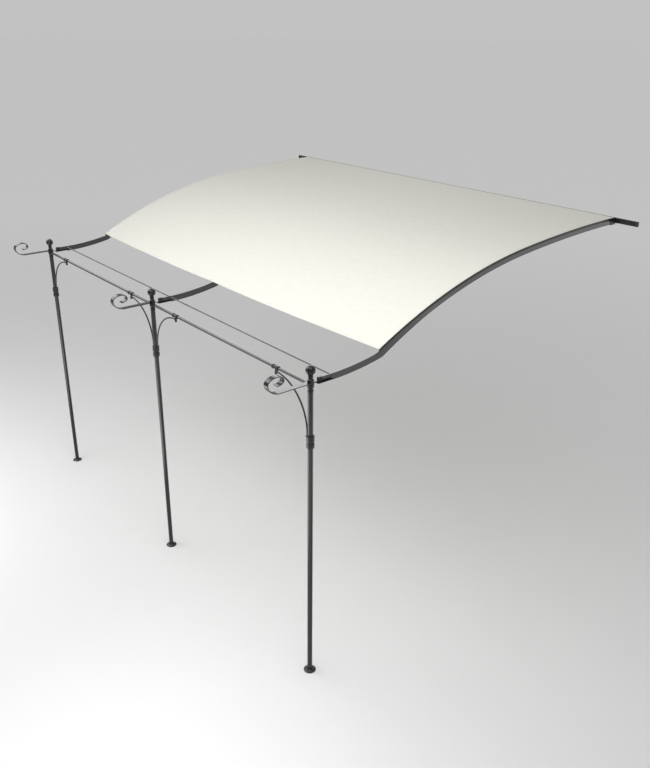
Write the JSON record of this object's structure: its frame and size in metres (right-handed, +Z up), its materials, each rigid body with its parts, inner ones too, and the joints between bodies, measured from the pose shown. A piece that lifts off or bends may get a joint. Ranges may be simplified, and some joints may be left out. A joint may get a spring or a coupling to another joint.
{
  "type": "lean-to pergola",
  "caption": "Lean-to pergola of slim iron posts with scroll brackets and ball finials, curved rafters up to a wall rail and a stretched cloth canopy for shading a terrace.",
  "frame": {"origin": "underside of the middle post's foot plate, on the post's axis", "axes": "+X along the wall, +Y from the posts towards the wall, +Z up"},
  "size_m": [4.4066, 3.54, 2.8943],
  "materials": {
    "iron": "satin graphite paint",
    "dark_iron": "satin black paint",
    "black_plastic": "matt",
    "canopy_cloth": "plain weave, ecru"
  },
  "bodies": {
    "root": {"foot_plate_left": "iron", "post_left": "iron", "post_collar_left": "iron", "post_head_left": "iron", "scroll_bracket_left": "iron", "finial_left": "iron", "rafter_left": "iron", "front_shoe_left": "dark_iron", "rear_shoe_left": "dark_iron", "front_shoe_bolt_left": "dark_iron", "rear_shoe_bolt_left": "dark_iron", "tongue_screw_left": "dark_iron", "foot_plate_middle": "iron", "post_middle": "iron", "post_collar_middle": "iron", "post_head_middle": "iron", "scroll_bracket_middle": "iron", "finial_middle": "iron", "rafter_middle": "iron", "front_shoe_middle": "dark_iron", "rear_shoe_middle": "dark_iron", "front_shoe_bolt_middle": "dark_iron", "rear_shoe_bolt_middle": "dark_iron", "tongue_screw_middle": "dark_iron", "foot_plate_right": "iron", "post_right": "iron", "post_collar_right": "iron", "post_head_right": "iron", "scroll_bracket_right": "iron", "finial_right": "iron", "rafter_right": "iron", "front_shoe_right": "dark_iron", "rear_shoe_right": "dark_iron", "front_shoe_bolt_right": "dark_iron", "rear_shoe_bolt_right": "dark_iron", "tongue_screw_right": "dark_iron", "brace_left": "iron", "brace_bolt_left": "dark_iron", "beam_clip_left": "dark_iron", "brace_middle_left_side": "iron", "brace_bolt_middle_left_side": "dark_iron", "beam_clip_middle_left_side": "dark_iron", "brace_middle_right_side": "iron", "brace_bolt_middle_right_side": "dark_iron", "beam_clip_middle_right_side": "dark_iron", "brace_right": "iron", "brace_bolt_right": "dark_iron", "beam_clip_right": "dark_iron", "front_beam_left": "iron", "front_beam_right": "iron", "tie_rod": "iron", "wall_rail": "dark_iron", "rail_plug_left": "black_plastic", "rail_plug_right": "black_plastic", "front_hem_rod": "iron", "rear_hem_rod": "iron", "canopy": "canopy_cloth"}
  },
  "joints": []
}
